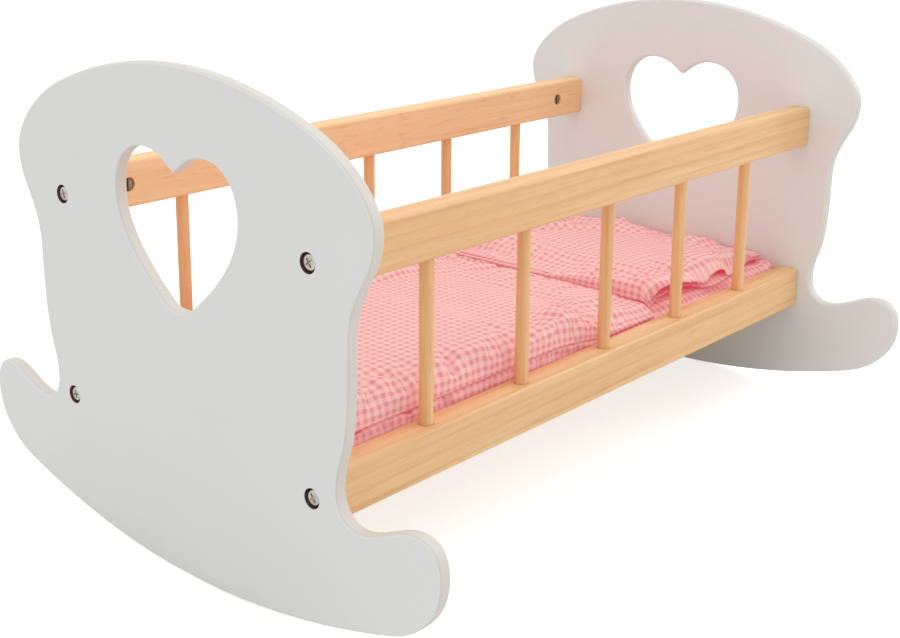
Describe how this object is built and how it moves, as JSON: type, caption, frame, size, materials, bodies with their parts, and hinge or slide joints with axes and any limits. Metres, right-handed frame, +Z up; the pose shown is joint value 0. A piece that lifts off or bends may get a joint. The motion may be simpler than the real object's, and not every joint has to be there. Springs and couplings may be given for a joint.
{
  "type": "doll bed",
  "caption": "Rocking doll cradle: two white end panels with heart cut-outs on curved rockers, joined by pine rails and round spindles, with a check mattress, duvet and pillow.",
  "frame": {"origin": "on the floor under the middle of the cradle", "axes": "+X along the length towards the head panel, +Y across towards the rear side, +Z up"},
  "size_m": [0.496, 0.377, 0.287],
  "materials": {
    "white_paint": "satin white paint over cut board",
    "pine": "clear satin lacquer on planed pine, grain along the rail",
    "dowel_wood": "turned dowel, clear satin lacquer",
    "plywood": "bare thin plywood",
    "nickel": "nickel plated",
    "nut_steel": "zinc plated, dulled",
    "gingham": "fine pink and white woven check cotton"
  },
  "bodies": {
    "cradle": {"foot_panel": "white_paint", "head_panel": "white_paint", "front_bottom_rail": "pine", "front_top_rail": "pine", "rear_bottom_rail": "pine", "rear_top_rail": "pine", "front_spindle_1": "dowel_wood", "front_spindle_2": "dowel_wood", "front_spindle_3": "dowel_wood", "front_spindle_4": "dowel_wood", "front_spindle_5": "dowel_wood", "rear_spindle_1": "dowel_wood", "rear_spindle_2": "dowel_wood", "rear_spindle_3": "dowel_wood", "rear_spindle_4": "dowel_wood", "rear_spindle_5": "dowel_wood", "foot_front_bottom_bolt": "nickel", "foot_front_top_bolt": "nickel", "foot_rear_bottom_bolt": "nickel", "foot_rear_top_bolt": "nickel", "head_front_bottom_bolt": "nickel", "head_front_top_bolt": "nickel", "head_rear_bottom_bolt": "nickel", "head_rear_top_bolt": "nickel", "foot_front_bottom_nut": "nut_steel", "foot_front_top_nut": "nut_steel", "foot_rear_bottom_nut": "nut_steel", "foot_rear_top_nut": "nut_steel", "head_front_bottom_nut": "nut_steel", "head_front_top_nut": "nut_steel", "head_rear_bottom_nut": "nut_steel", "head_rear_top_nut": "nut_steel", "base_board": "plywood"},
    "mattress": {"mattress": "gingham"},
    "duvet": {"duvet": "gingham"},
    "pillow": {"pillow": "gingham"}
  },
  "joints": [
    {"name": "mattress_lift", "type": "slide", "parent": "cradle", "child": "mattress", "axis": [0, 0, 1], "range_m": [0, 0.24]},
    {"name": "duvet_lift", "type": "slide", "parent": "mattress", "child": "duvet", "axis": [0, 0, 1], "range_m": [0, 0.2]},
    {"name": "pillow_lift", "type": "slide", "parent": "mattress", "child": "pillow", "axis": [0, 0, 1], "range_m": [0, 0.2]}
  ]
}
